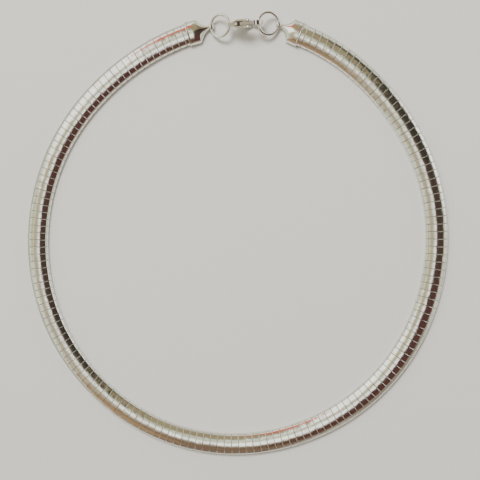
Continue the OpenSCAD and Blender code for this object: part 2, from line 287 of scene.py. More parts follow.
# %% Sizes from the construction
LOOP_LENGTH = 457 * MM
BULGES = (  # how many round the loop, share of its radius, direction of the first in degrees
    (2, 0.0237, 81.4), (3, 0.0084, 86.2), (4, 0.0046, 84.6), (5, 0.0024, 86.4), (6, 0.0018, 84.9))
MIDDLE = complex(-0.0798, 0.9517) * MM
PLATE_PITCH, PLATE_COUNT = 2.6 * MM, 161
CAP_REACH, LEFT_LEAN, RIGHT_LEAN = 8.7 * MM, radians(17), radians(23)
RING_WIRE, RING_R = 1 * MM, 3.75 * MM
EYELET_R, EYELET_WALL = 1.05 * MM, 0.3 * MM
CLASP_LEAN, CLASP_SKEW, CLASP_T = radians(12), radians(4), 3 * MM
EYE_X, EYE_Z, CLAW_X = -5.25 * MM, 4 * MM, 4.85 * MM
LOW_WIRE, HIGH_WIRE = 1.1 * MM, EYE_Z * cos(CLASP_LEAN) + CLASP_T / 2 * sin(CLASP_LEAN)
RING_LEAN = asin((HIGH_WIRE - LOW_WIRE) / (2 * RING_R))
RING_RUN = 2 * RING_R * cos(RING_LEAN)
print("the rings lean, degrees:", round(RING_LEAN / radians(1), 2))

# %% [markdown]
# Three things are unknown until they are solved for: the loop's radius, the direction of the
# two rings, and how wide the gap at the back is. The radius follows from the length round. The
# direction is the one that brings the closure's far end level with its start. The gap is as
# wide as the closure is long. Halving an interval again and again finds the last two.

# %% The loop and the closure
STEPS = 2880  # round the loop


def toward(angle):
    return complex(cos(angle), sin(angle))


def solve(rule, low, high):
    for _ in range(50):
        middle = (low + high) / 2
        low, high = (middle, high) if rule(middle) < 0 else (low, middle)
    return low


def on_unit_loop(angle):
    bulge = sum(share * cos(count * (angle - radians(first))) for count, share, first in BULGES)
    return toward(angle) * (1 + bulge)


def closure_points(way):
    eyelet = CAP_REACH * toward(LEFT_LEAN)
    eye = eyelet + RING_RUN * toward(way)
    claw = eye + (CLAW_X - EYE_X) * toward(way + CLASP_SKEW)
    return eyelet, eye, claw, claw + RING_RUN * toward(way) + CAP_REACH * toward(-RIGHT_LEAN)


def too_wide(half_angle):
    gap = loop_r * abs(on_unit_loop(pi / 2 + half_angle) - on_unit_loop(pi / 2 - half_angle))
    return gap - closure_end.real


unit = [on_unit_loop(2 * pi * i / STEPS) for i in range(STEPS)]
loop_r = LOOP_LENGTH / sum(abs(unit[i] - unit[i - 1]) for i in range(STEPS))
ring_way = solve(lambda way: closure_points(way)[3].imag, radians(-20), radians(20))
left_eyelet, clasp_eye, clasp_claw, closure_end = closure_points(ring_way)
half_closure = solve(too_wide, radians(5), radians(40))
left_rim, right_rim = (loop_r * on_unit_loop(pi / 2 + s * half_closure) - MIDDLE for s in (1, -1))
closure_turn = phase(right_rim - left_rim)
print("loop's radius and closure, mm:", round(loop_r / MM, 3), round(closure_end.real / MM, 3))

# %% [markdown]
# Each piece of the closure has a frame of its own, with its origin where the piece begins and
# its first axis along it. A piece is drawn in that frame and then placed on the table.

# %% Frames for the closure's pieces
LEFT_CUT, RIGHT_CUT = 65, -110  # where the rings are sawn, in degrees


def in_closure(point, angle):
    at = left_rim + point * toward(closure_turn)
    return Matrix.Translation((at.real, at.imag, 0)) @ Matrix.Rotation(closure_turn + angle, 4, "Z")


def on_ring(start, up, cut):
    """In the middle of a ring that rises from its start (up = 1) or falls from it (up = -1)."""
    return (in_closure(start + RING_RUN / 2 * toward(ring_way), ring_way)
            @ Matrix.Translation((0, 0, (LOW_WIRE + HIGH_WIRE) / 2))
            @ Matrix.Rotation(-up * RING_LEAN, 4, "Y") @ Matrix.Rotation(CLASP_LEAN / 2, 4, "X")
            @ Matrix.Rotation(radians(cut), 4, "Z"))


at_left_cap = in_closure(0, LEFT_LEAN)
at_right_cap = in_closure(closure_end.real, pi - RIGHT_LEAN)
at_clasp = (in_closure(clasp_eye, ring_way + CLASP_SKEW) @ Matrix.Translation((0, 0, HIGH_WIRE))
            @ Matrix.Rotation(CLASP_LEAN, 4, "X") @ Matrix.Translation((-EYE_X, 0, -EYE_Z)))
at_left_ring = on_ring(left_eyelet, 1, LEFT_CUT)
at_right_ring = on_ring(clasp_claw, -1, RIGHT_CUT)
for node, place in (("left_ring", at_left_ring), ("right_ring", at_right_ring)):
    low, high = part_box(node)
    off = (Vector(low) + Vector(high)) / 2 - place.translation
    print(node, "is off the construction's by, mm:", [round(v / MM, 3) for v in off])

# %% [markdown]
# The middle line itself starts inside the left cap, runs left round the loop and ends inside
# the right cap. Past the rims it runs straight, down the middle of each cap.

# %% The band's middle line
def band_line(extra):
    first, last = pi / 2 + half_closure, 2 * pi + pi / 2 - half_closure
    angles = [first + (last - first) * i / STEPS for i in range(STEPS + 1)]
    bend = [loop_r * on_unit_loop(angle) - MIDDLE for angle in angles]
    left_way = toward(closure_turn + LEFT_LEAN)
    right_way = toward(closure_turn + pi - RIGHT_LEAN)
    return [bend[0] + left_way * extra, *bend, bend[-1] + right_way * extra]


def length_of(line):
    return sum(abs(b - a) for a, b in zip(line, line[1:]))


band_length = length_of(band_line(0)[1:-1])
slip = (PLATE_COUNT * PLATE_PITCH - band_length) / 2
print("band between the rims, mm:", round(band_length / MM, 2))
print("the last plates slip into the caps by, mm:", round(slip / MM, 3))

# %% [markdown]
# ## Building surfaces
# Nearly every piece here is a skin through rows of points: across a plate, round a wire, or
# round a cap. One helper makes the faces between the rows, one writes the crevice numbers on a
# mesh, and one makes the object, smooths what is round and keeps what is creased.

# %% Skins
def skin(rows, rows_close=False, points_close=True, capped=False):
    """All the points of the rows in one list, and the four-sided faces between the rows."""
    count, span = len(rows), len(rows[0])
    faces = []
    for j in range(count if rows_close else count - 1):
        for k in range(span if points_close else span - 1):
            a, b = j * span, (j + 1) % count * span
            faces.append((a + k, b + k, b + (k + 1) % span, a + (k + 1) % span))
    if capped:
        faces += [tuple(range(span)), tuple(range((count - 1) * span, count * span))]
    return [point for row in rows for point in row], faces


def mark_crevices(mesh, values):
    mesh.attributes.new("crevice", "FLOAT", "POINT").data.foreach_set("value", values)


def shape(name, points, faces, place=Matrix(), crease=35, crevice=None, material=None):
    mesh = bpy.data.meshes.new(name)
    mesh.from_pydata([tuple(place @ Vector(p)) for p in points], [], faces)
    work = bmesh.new()
    work.from_mesh(mesh)
    bmesh.ops.recalc_face_normals(work, faces=work.faces)
    work.to_mesh(mesh)
    work.free()
    mesh.shade_smooth()
    mesh.set_sharp_from_angle(angle=radians(crease))
    mark_crevices(mesh, crevice or [0.0] * len(points))
    if material:
        mesh.materials.append(material)
    piece = bpy.data.objects.new(name, mesh)
    bpy.context.scene.collection.objects.link(piece)
    return piece

# %% [markdown]
# ## One plate
# A plate is a strip of sheet, rolled to a low dome. Its two sides turn down round a shoulder
# and fold in under the mesh as flat lips. Its front edge is stepped down and slides in under
# the next plate, so the joint never shows a hole. Both top edges are eased, and that narrow
# slope is what draws the bright line beside each dark joint.
#
# A hundred and sixty copies are coming, so the plate has as few faces as its curves allow.
# Its outline across is worked out for any depth below the surface, and each row along the
# plate takes one depth.

# %% The dome's outline
BAND_W, BAND_H, CROWN_R, SHOULDER_R = 7.8 * MM, 2.8 * MM, 6 * MM, 1.5 * MM
LIP_W = 1.9 * MM
CROWN_Z, SHOULDER_Y = BAND_H - CROWN_R, BAND_W / 2 - SHOULDER_R
SHOULDER_Z = CROWN_Z + sqrt((CROWN_R - SHOULDER_R) ** 2 - SHOULDER_Y ** 2)
CROWN_HALF = pi / 2 - atan((SHOULDER_Z - CROWN_Z) / SHOULDER_Y)
UNDERCUT = radians(5)
FOOT_R = (SHOULDER_Z - SHOULDER_R * sin(UNDERCUT)) / (1 - sin(UNDERCUT))


def arc(centre, radius, start, end, steps):
    return [centre + radius * toward(start + (end - start) * i / steps) for i in range(steps + 1)]


def dome_side(depth, crown, shoulder, foot):
    """From the top of the dome down its right side to the inner edge of the lip."""
    turn_down = pi / 2 - CROWN_HALF
    shoulder_at = complex(SHOULDER_Y, SHOULDER_Z)
    foot_at = shoulder_at + (SHOULDER_R - FOOT_R) * toward(-UNDERCUT)
    return (arc(complex(0, CROWN_Z), CROWN_R - depth, pi / 2, turn_down, crown)
            + arc(shoulder_at, SHOULDER_R - depth, turn_down, -UNDERCUT, shoulder)[1:]
            + arc(foot_at, FOOT_R - depth, -UNDERCUT, -pi / 2, foot)[1:])


def both_sides(side):
    return [complex(-p.real, p.imag) for p in reversed(side[1:])] + side


def plate_outline(depth):
    return both_sides(dome_side(depth, 2, 3, 2) + [complex(BAND_W / 2 - LIP_W, depth)])


print("points across a plate:", len(plate_outline(0)))

# %% [markdown]
# Seven rows along the plate are enough: the front of the tucked edge, its root, the top of the
# front edge before and after the easing, the same two at the back, and the sheet's lower side.
# The band bends, so a row is a little shorter towards the inside of the loop.

# %% One plate
JOINT, EASE, EASE_DEPTH, SHEET = 0.15 * MM, 0.075 * MM, 0.05 * MM, 0.34 * MM
TUCK_REACH, TUCK_DEPTH, TUCK_ROOT = 0.34 * MM, 0.42 * MM, 0.40 * MM
half_plate = PLATE_PITCH / 2
edge = half_plate - JOINT / 2
# The last number is the crevice number: the tucked edge, a little of each eased edge, and the
# underside are darkened with tarnish and painted shade.
PLATE_ROWS = (  # along the plate, depth below the surface, how deep in the joint
    (half_plate + TUCK_REACH, TUCK_DEPTH, 1.0),
    (edge, TUCK_ROOT, 1.0),
    (edge, EASE_DEPTH, 0.12),
    (edge - EASE, 0, 0.0),
    (EASE - edge, 0, 0.0),
    (-edge, EASE_DEPTH, 0.12),
    (-edge, SHEET, 1.0),
)


def plate_shape():
    rows = [[(x * (1 - p.real / loop_r), p.real, p.imag) for p in plate_outline(depth)]
            for x, depth, _ in PLATE_ROWS]
    points, faces = skin(rows, rows_close=True, points_close=False)
    span, count = len(rows[0]), len(rows)
    faces += [tuple(j * span + k for j in range(count)) for k in (0, span - 1)]
    crevice = [deep for _, _, deep in PLATE_ROWS for _ in range(span)]
    return shape("plate", points, faces, crevice=crevice, crease=28)


plate = plate_shape()
print("faces on a plate:", len(plate.data.polygons))

# %% [markdown]
# ## Growing pieces with Geometry Nodes
# Three helpers are all that a grown piece needs. The first makes an empty tree with named
# inputs. The second puts the tree on a host object, sets the inputs by their sockets' own
# identifiers, and keeps what grew as a plain mesh. The third makes the host, which is a line.

# %% Geometry Nodes helpers
def new_node_group(name, inputs):
    tree = bpy.data.node_groups.new(name, "GeometryNodeTree")
    tree.interface.new_socket("Geometry", in_out="OUTPUT", socket_type="NodeSocketGeometry")
    tree.interface.new_socket("Geometry", in_out="INPUT", socket_type="NodeSocketGeometry")
    for title, kind in inputs:
        tree.interface.new_socket(title, in_out="INPUT", socket_type="NodeSocket" + kind)
    board = Board(tree)
    entry = tree.nodes.new("NodeGroupInput")
    return board, {socket.name: Wire(board, socket) for socket in entry.outputs if socket.name}


def grow(host, board, values):
    modifier = host.modifiers.new("grow", "NODES")
    modifier.node_group = board.tree
    for item in board.tree.interface.items_tree:
        if item.in_out == "INPUT" and item.name in values:
            modifier[item.identifier] = values[item.name]
    graph = bpy.context.evaluated_depsgraph_get()
    grown = bpy.data.meshes.new_from_object(
        host.evaluated_get(graph), preserve_all_data_layers=True, depsgraph=graph)
    host.modifiers.remove(modifier)
    old, host.data = host.data, grown
    bpy.data.meshes.remove(old)
    grown.name = host.name
    return host


def path_object(name, line):
    mesh = bpy.data.meshes.new(name)
    edges = [(i, i + 1) for i in range(len(line) - 1)]
    mesh.from_pydata([(p.real, p.imag, 0) for p in line], edges, [])
    host = bpy.data.objects.new(name, mesh)
    bpy.context.scene.collection.objects.link(host)
    return host

# %% [markdown]
# ## The row of plates
# Copies set evenly along a line are Geometry Nodes' best work. The tree below turns the middle
# line into a curve, trims half a pitch from each end, and drops a point in the middle of each
# plate's place. Each point gets the plate, turned to face along the line.
#
# No two real plates lie quite alike, and on a mirror a turn of half a degree shows. So each
# copy is turned a little at random, with a fixed seed, and remembers a random number of its
# own for its tone. A turned plate still rests on the table, so nothing of it goes below.

# %% Lay the plates
def plates_tree():
    board, given = new_node_group("row_of_plates", [
        ("Plate", "Object"), ("Pitch", "Float"), ("Count", "Int"), ("Wobble", "Vector"),
        ("Seed", "Int"), ("Metal", "Material")])
    node = board.node
    curve = node("GeometryNodeMeshToCurve", {}, {"Mesh": given["Geometry"]})
    length = node("GeometryNodeCurveLength", {}, {"Curve": curve})
    trimmed = node("GeometryNodeTrimCurve", {"mode": "LENGTH"}, {
        "Curve": curve, 4: given["Pitch"] * 0.5, 5: length - given["Pitch"] * 0.5})
    places = node("GeometryNodeResampleCurve", {}, {"Curve": trimmed, "Count": given["Count"]})
    facing = node("FunctionNodeAlignRotationToVector", {"axis": "X", "pivot_axis": "Z"},
                  {"Vector": node("GeometryNodeInputTangent")})
    minus = node("ShaderNodeVectorMath", {"operation": "SCALE"},
                 {0: given["Wobble"], "Scale": -1.0})
    wobble = node("FunctionNodeRandomValue", {"data_type": "FLOAT_VECTOR"},
                  {0: minus, 1: given["Wobble"], "Seed": given["Seed"]})
    turned = node("FunctionNodeRotateRotation", {"rotation_space": "LOCAL"},
                  {"Rotation": facing, "Rotate By": wobble})
    one = node("GeometryNodeObjectInfo", {}, {"Object": given["Plate"]}, out="Geometry")
    copies = node("GeometryNodeInstanceOnPoints", {},
                  {"Points": places, "Instance": one, "Rotation": turned})
    tone = node("FunctionNodeRandomValue", {"data_type": "FLOAT"},
                {"Seed": given["Seed"] + 1}, out=1)
    marked = node("GeometryNodeStoreNamedAttribute", {"data_type": "FLOAT", "domain": "INSTANCE"},
                  {"Geometry": copies, "Name": "plate_tone", "Value": tone})
    solid = node("GeometryNodeRealizeInstances", {}, {"Geometry": marked})
    done = node("GeometryNodeSetMaterial", {}, {"Geometry": solid, "Material": given["Metal"]})
    node("NodeGroupOutput", {}, {"Geometry": done})
    return board


plates_row = grow(path_object("plates_row", band_line(slip)), plates_tree(), {
    "Plate": plate, "Pitch": PLATE_PITCH, "Count": PLATE_COUNT, "Seed": 7, "Metal": plate_metal,
    "Wobble": (radians(0.45), radians(0.6), radians(0.25))})
bpy.data.objects.remove(plate)
for vertex in plates_row.data.vertices:
    vertex.co.z = max(vertex.co.z, 0)
print("row of plates:", len(plates_row.data.polygons), "faces")

# %% [markdown]
# ## The woven mesh
# Under the plates runs a flat tube of woven wire. It gives the necklace its spring, and from
# below it shows between the lips as rows of small V stitches, like knitting. The body of the
# tube is one flat ribbon. The stitches are laid on its underside by Geometry Nodes: first a
# point for each row along the band, then a short line of points across at each of those, and
# on each of these one stitch.

# %% The ribbon
CORE_LOW, CORE_T, CORE_W, CORE_TAIL = 0.47 * MM, 0.85 * MM, 5.6 * MM, 3.2 * MM
STITCH_ROOM, SOFT_EDGE = 0.1 * MM, 0.3 * MM
LINE_STRIDE = 9  # the ribbon needs only one in nine of the middle line's points


def ribbon_shape():
    bottom, top, half, soft = CORE_LOW + STITCH_ROOM, CORE_LOW + CORE_T, CORE_W / 2, SOFT_EDGE
    side = [(-half, bottom + soft), (-half + soft, bottom), (half - soft, bottom),
            (half, bottom + soft), (half, top - soft), (half - soft, top),
            (soft - half, top), (-half, top - soft)]
    line = band_line(CORE_TAIL)
    line = line[:1] + line[1:-1:LINE_STRIDE] + line[-1:]
    rows = []
    for i, point in enumerate(line):
        way = line[min(i + 1, len(line) - 1)] - line[max(i - 1, 0)]
        left = way / abs(way) * 1j
        rows.append([((point + left * y).real, (point + left * y).imag, z) for y, z in side])
    points, faces = skin(rows, capped=True)
    # Painted shade: the ribbon's underside, between the stitches, is darkened fully, and its top,
    # under the plates, a little less.
    under, over = [1.0] * 4, [0.6] * 4
    return shape("woven_mesh", points, faces, crevice=(under + over) * len(rows),
                 material=wire_metal)


ribbon = ribbon_shape()
print("ribbon faces:", len(ribbon.data.polygons))

# %% [markdown]
# A stitch is a V of two wires, with its point towards the next row. The mesh takes thousands of
# them, so each wire has three sides and no more. Its sharp edge faces down, where it is seen.

# %% One stitch
STITCH_LONG, STITCH_WIDE, STITCH_DEEP, STITCH_WIRE = 0.66 * MM, 0.46 * MM, 0.16 * MM, 0.15 * MM


def stitch_shape():
    points, faces = [], []
    up = Vector((0, 0, 1))
    for side in (-1, 1):
        start = Vector((-0.42 * STITCH_LONG, side * 0.5 * STITCH_WIDE, CORE_LOW + 0.08 * MM))
        end = Vector((0.58 * STITCH_LONG, side * 0.06 * STITCH_WIDE, CORE_LOW + 0.02 * MM))
        across = (end - start).cross(up).normalized() * STITCH_WIRE / 2
        base = len(points)
        for p in (start, end):
            points += [p + across + up * STITCH_DEEP, p, p - across + up * STITCH_DEEP]
        faces += [[base + corner for corner in face] for face in (
            (0, 1, 4, 3), (1, 2, 5, 4), (2, 0, 3, 5), (0, 2, 1), (3, 4, 5))]
    # Painted shade: the two upper edges of each wire, against the ribbon, are half darkened.
    return shape("stitch", points, faces, crease=80, crevice=[0.5, 0.0, 0.5] * 4)


stitch = stitch_shape()
print("faces on a stitch:", len(stitch.data.polygons))

# %% [markdown]
# The tree for the weave works in two steps. Each point of the middle line remembers which way
# it faces and carries a short line of points across the band. When those lines are realized,
# their points still know that direction, so each stitch can be turned to it.

# %% Weave the underside
ROW_LENGTH, STITCH_COLUMNS, STITCHES_TAIL = 0.94 * STITCH_LONG, 9, 0.5 * MM


def stitches_tree():
    board, given = new_node_group("rows_of_stitches", [
        ("Stitch", "Object"), ("Row length", "Float"), ("Column width", "Float"),
        ("Columns", "Int"), ("Unevenness", "Float"), ("Seed", "Int"), ("Metal", "Material")])
    node = board.node
    curve = node("GeometryNodeMeshToCurve", {}, {"Mesh": given["Geometry"]})
    rows = node("GeometryNodeResampleCurve", {"mode": "LENGTH"},
                {"Curve": curve, "Length": given["Row length"]})
    facing = node("FunctionNodeAlignRotationToVector", {"axis": "X", "pivot_axis": "Z"},
                  {"Vector": node("GeometryNodeInputTangent")})
    kept = node("GeometryNodeStoreNamedAttribute", {"data_type": "QUATERNION", "domain": "POINT"},
                {"Geometry": rows, "Name": "facing", "Value": facing})
    width = given["Column width"] * (given["Columns"] - 1)
    across = node("GeometryNodeMeshLine", {"mode": "END_POINTS"}, {
        "Count": given["Columns"],
        "Start Location": node("ShaderNodeCombineXYZ", {}, {"Y": width * -0.5}),
        "Offset": node("ShaderNodeCombineXYZ", {}, {"Y": width * 0.5})})
    lines = node("GeometryNodeInstanceOnPoints", {},
                 {"Points": kept, "Instance": across, "Rotation": facing})
    spots = node("GeometryNodeRealizeInstances", {}, {"Geometry": lines})
    turn = node("GeometryNodeInputNamedAttribute", {"data_type": "QUATERNION"}, {"Name": "facing"})
    smallest, largest = 1 - given["Unevenness"], 1 + given["Unevenness"]
    size = node("FunctionNodeRandomValue", {"data_type": "FLOAT"},
                {2: smallest, 3: largest, "Seed": given["Seed"]}, out=1)
    one = node("GeometryNodeObjectInfo", {}, {"Object": given["Stitch"]}, out="Geometry")
    copies = node("GeometryNodeInstanceOnPoints", {}, {
        "Points": spots, "Instance": one, "Rotation": turn,
        "Scale": node("ShaderNodeCombineXYZ", {}, {"X": size, "Y": size, "Z": 1.0})})
    solid = node("GeometryNodeRealizeInstances", {}, {"Geometry": copies})
    done = node("GeometryNodeSetMaterial", {}, {"Geometry": solid, "Material": given["Metal"]})
    node("NodeGroupOutput", {}, {"Geometry": done})
    return board


stitches = grow(path_object("woven_stitches", band_line(STITCHES_TAIL)), stitches_tree(), {
    "Stitch": stitch, "Row length": ROW_LENGTH, "Column width": STITCH_WIDE,
    "Columns": STITCH_COLUMNS, "Unevenness": 0.05, "Seed": 3, "Metal": wire_metal})
bpy.data.objects.remove(stitch)
print("stitches:", len(stitches.data.polygons), "faces")

# %% [markdown]
# ## The end caps
# A cap is folded from sheet. A thin bead stiffens its rim, where the last plate goes in. After
# it comes a shield, domed like the plates, that stays wide to its two shoulders and then
# sweeps in to a narrow tongue. The tongue is rolled over the jump ring and back under, which
# makes the eyelet. Along the swept sides the sheet's own edge turns out a little and shows as
# a bright line.
#
# The shield is a skin through outlines across it. Their width and height follow two curves
# along the cap.

# %% The cap's outlines
CAP_OUT, CAP_SHEET, TONGUE_W = 0.52 * MM, 0.4 * MM, 1.6 * MM
BEAD, BEAD_STEP, THROAT, CAP_STRAIGHT = 0.55 * MM, 0.08 * MM, 1.88 * MM, 4.1 * MM
HEM_HEIGHT, HEM_OUT, SEAM_HALF = 0.42 * MM, 0.16 * MM, 0.06 * MM
CAP_HALF, CAP_HIGH = BAND_W / 2 + CAP_OUT, BAND_H + CAP_OUT
SHIELD_END = CAP_REACH - 0.8 * EYELET_R


def smooth(share):
    share = max(0.0, min(1.0, share))
    return share * share * (3 - 2 * share)


def cap_width(x):
    taper = max(0.0, min(1.0, (x - CAP_STRAIGHT) / (SHIELD_END - CAP_STRAIGHT)))
    return TONGUE_W / 2 + (CAP_HALF - BEAD_STEP - TONGUE_W / 2) * (1 - taper) ** 1.8


def cap_height(x):
    tip = LOW_WIRE + 0.9 * EYELET_R
    return tip + (CAP_HIGH - BEAD_STEP - tip) * (1 - smooth((x - THROAT) / (SHIELD_END - THROAT)))


def cap_outline(x, half, high, hem=0.0, floor=0.0):
    side = [complex(p.real / CAP_HALF * half, max(floor, p.imag / CAP_HIGH * high))
            for p in dome_side(-CAP_OUT, 6, 5, 3)]
    side = [p + hem * smooth(1 - p.imag / HEM_HEIGHT) for p in side]
    side += [complex(side[-1].real * 0.5, floor), complex(SEAM_HALF, floor)]
    return [(x, p.real, p.imag) for p in both_sides(side)]


print("points round a cap:", len(cap_outline(0, CAP_HALF, CAP_HIGH)))

# %% [markdown]
# The rows start inside the throat, turn round the rim, pass over the bead and then follow the
# shield to the tongue. The throat and the groove behind the bead are darkened with tarnish and
# painted shade.

# %% Fold the caps
# The last number of each row is how far it is darkened with tarnish and painted shade.
THROAT_ROWS = ((1.8 * MM, 0.6), (0.1 * MM, 1.0), (0.0, 1.0))  # along the cap, how deep
BEAD_ROWS = (  # along the bead, how many steps lower than its top, how deep
    (0.0, 1.5, 0.3), (0.12, 0.5, 0.0), (0.32, 0.0, 0.0), (0.6, 0.0, 0.0), (0.84, 0.4, 0.0),
    (1.0, 1.2, 0.5), (1.12, 1.4, 0.8), (1.3, 1.1, 0.3), (1.6, 1.0, 0.0))
SHIELD_START, SHIELD_ROWS = 1.9 * BEAD, 30


def cap_shape(name, place):
    rows, crevice = [], []
    for x, deep in THROAT_ROWS:
        rows.append(cap_outline(x, CAP_HALF - CAP_SHEET, CAP_HIGH - CAP_SHEET, floor=CAP_SHEET))
        crevice.append(deep)
    for share, steps, deep in BEAD_ROWS:
        sunk = steps * BEAD_STEP
        rows.append(cap_outline(share * BEAD, CAP_HALF - sunk, CAP_HIGH - sunk))
        crevice.append(deep)
    for i in range(SHIELD_ROWS + 1):
        x = SHIELD_START + (SHIELD_END - SHIELD_START) * i / SHIELD_ROWS
        hem = smooth((x - CAP_STRAIGHT + 0.5 * MM) / MM) * smooth((SHIELD_END - x) / MM)
        rows.append(cap_outline(x, cap_width(x), cap_height(x), HEM_OUT * hem))
        crevice.append(0.0)
    points, faces = skin(rows, capped=True)
    crevice = [deep for deep in crevice for _ in rows[0]]
    return shape(name, points, faces, place, 50, crevice, cap_metal)


cap_left = cap_shape("cap_left", at_left_cap)
cap_right = cap_shape("cap_right", at_right_cap)
print("cap faces:", len(cap_left.data.polygons))

# %% [markdown]
# The rolled tongue is a flat strip swept round the eyelet's middle. A sweep is a skin again:
# the strip's outline across, set at each step of the roll. The tongue is bent sideways too,
# until the eyelet faces its ring.

# %% Roll the tongues
ROLL_START, ROLL_TURN, ROLL_STEPS, TONGUE_EASE = 165, 320, 30, 0.08 * MM  # angles in degrees


def rolled_tongue(name, place, facing):
    inner, outer, half, ease = EYELET_R - EYELET_WALL, EYELET_R, TONGUE_W / 2, TONGUE_EASE
    outline = [(inner, -half + ease), (inner, half - ease), (inner + ease, half),
               (outer - ease, half), (outer, half - ease), (outer, -half + ease),
               (outer - ease, -half), (inner + ease, -half)]
    rows = []
    for i in range(ROLL_STEPS + 1):
        angle = radians(ROLL_START - ROLL_TURN * i / ROLL_STEPS)
        rows.append([(r * cos(angle), y, r * sin(angle)) for r, y in outline])
    points, faces = skin(rows, capped=True)
    # Tarnish and painted shade: the inside of the roll is darkened.
    deep = [0.8 if r < inner + 0.5 * ease else 0.0 for r, _ in outline]
    bent = place @ Matrix.Translation((CAP_REACH, 0, LOW_WIRE)) @ Matrix.Rotation(facing, 4, "Z")
    return shape(name, points, faces, bent, 50, deep * len(rows), cap_metal)


tongue_left = rolled_tongue("tongue_left", at_left_cap, ring_way - LEFT_LEAN)
tongue_right = rolled_tongue("tongue_right", at_right_cap, ring_way + RIGHT_LEAN)
print("tongue faces:", len(tongue_left.data.polygons))

# %% [markdown]
# ## The jump rings
# A jump ring is one turn of round wire, sawn through and closed again. The saw cut stays as a
# fine gap, so the ring isn't quite a full turn, and its two flat ends almost meet. The ends are
# darkened with tarnish and painted shade, so the cut shows as a fine dark line.

# %% Bend the rings
RING_STEPS, WIRE_SIDES, CUT_HALF, CUT_EASE = 96, 16, 0.03 * MM, 0.04 * MM


def jump_ring(name, place):
    cut, wire_r = CUT_HALF / RING_R, RING_WIRE / 2
    circles = [(cut + (2 * pi - 2 * cut) * i / RING_STEPS, wire_r) for i in range(RING_STEPS + 1)]
    circles = [(cut, wire_r - CUT_EASE), *circles, (2 * pi - cut, wire_r - CUT_EASE)]
    turns = [2 * pi * k / WIRE_SIDES for k in range(WIRE_SIDES)]
    rows = []
    for angle, radius in circles:
        away = [RING_R + radius * cos(turn) for turn in turns]
        rows.append([(far * cos(angle), far * sin(angle), radius * sin(turn))
                     for far, turn in zip(away, turns)])
    points, faces = skin(rows, capped=True)
    # Tarnish and painted shade: the sawn ends are darkened.
    end, open_wire = [0.9] * WIRE_SIDES, [0.0] * WIRE_SIDES * (len(rows) - 2)
    return shape(name, points, faces, place, 50, end + open_wire + end, finding_metal)


ring_left = jump_ring("ring_left", at_left_ring)
ring_right = jump_ring("ring_right", at_right_ring)
print("ring faces:", len(ring_left.data.polygons))

# %% [markdown]
# ## The clasp
# A lobster clasp is cast and then tumbled with polishing stones, so every edge is soft. The
# construction's solid has the right form with hard edges. A voxel remesh turns a merged copy
# of it into small even squares, and smoothing them rounds each edge by about a voxel, as
# tumbling does. The stones don't reach into the slot or the claw, or down the lever's sides, so
# those are marked as crevices, by rules in the clasp's own frame. There the metal is darkened
# with tarnish and painted shade, which draws the dark line round the lever.

# %% Where the stones don't reach
SLOT_HALF, SLOT_FLOOR, SLOT_START, SLOT_END = 0.86 * MM, 3.2 * MM, -3.42 * MM, 2.6 * MM
LEVER_FACE, CLAW_HALF = 0.38 * MM, 0.9 * MM
CLAW_HOLES = ((1.68 * MM, 3.3 * MM, 2.42 * MM), (4.1 * MM, EYE_Z, 1.63 * MM))  # x, z, radius


# Each rule gives the crevice number, which darkens the metal with tarnish and painted shade.
def in_slot(p):
    depth = min(SLOT_HALF - abs(p.y), p.z - SLOT_FLOOR, p.x - SLOT_START, SLOT_END - p.x)
    return 0.85 * smooth(depth / (0.12 * MM))


def on_lever_side(p):
    return 0.75 * smooth((abs(p.y) - LEVER_FACE) / (0.16 * MM))


def in_claw(p):
    wide = max(radius - abs(complex(p.x - x, p.z - z)) for x, z, radius in CLAW_HOLES)
    return 0.6 * smooth(min(CLAW_HALF - abs(p.y), wide) / (0.15 * MM))


print("crevice in the slot's middle:", round(in_slot(Vector((0, 0, EYE_Z))), 2))

# %% [markdown]
# A construction node is never changed itself, only a copy of it. The copy's loose triangles are
# merged at their corners first, because a remesh wants a closed skin.

# %% Soften the clasp
def tumbled(name, node, voxel, passes, material, crevices):
    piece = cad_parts[node].copy()
    piece.data = piece.data.copy()
    piece.name = name
    piece.animation_data_clear()
    bpy.context.scene.collection.objects.link(piece)
    work = bmesh.new()
    work.from_mesh(piece.data)
    bmesh.ops.remove_doubles(work, verts=work.verts, dist=1e-6)
    work.to_mesh(piece.data)
    work.free()
    remesh = piece.modifiers.new("voxels", "REMESH")
    remesh.mode, remesh.voxel_size = "VOXEL", voxel
    relax = piece.modifiers.new("tumble", "SMOOTH")
    relax.factor, relax.iterations = 0.5, passes
    graph = bpy.context.evaluated_depsgraph_get()
    soft = bpy.data.meshes.new_from_object(piece.evaluated_get(graph))
    piece.modifiers.clear()
    piece.data = soft
    soft.name = name
    soft.shade_smooth()
    soft.materials.clear()
    soft.materials.append(material)
    own = at_clasp.inverted() @ piece.matrix_world
    mark_crevices(soft, [max(rule(own @ v.co) for rule in crevices) for v in soft.vertices])
    return piece


clasp_claw = tumbled("clasp_claw", "clasp_body", 0.06 * MM, 9, finding_metal, [in_slot, in_claw])
clasp_gate = tumbled("clasp_gate", "clasp_lever", 0.05 * MM, 5, finding_metal, [on_lever_side])
print("clasp faces:", len(clasp_claw.data.polygons), len(clasp_gate.data.polygons))

# %% [markdown]
# The lever turns on a pin that is hammered over at both ends, so its heads are low domes.

# %% Set the pin
PIN_R, PIN_X, PIN_Z, PIN_SIDES = 0.45 * MM, -1.426 * MM, 4.4505 * MM, 24
PIN_HEAD = ((0.55, 0.0), (0.85, 0.05 * MM), (1.0, 0.14 * MM))  # share of the radius, from the end


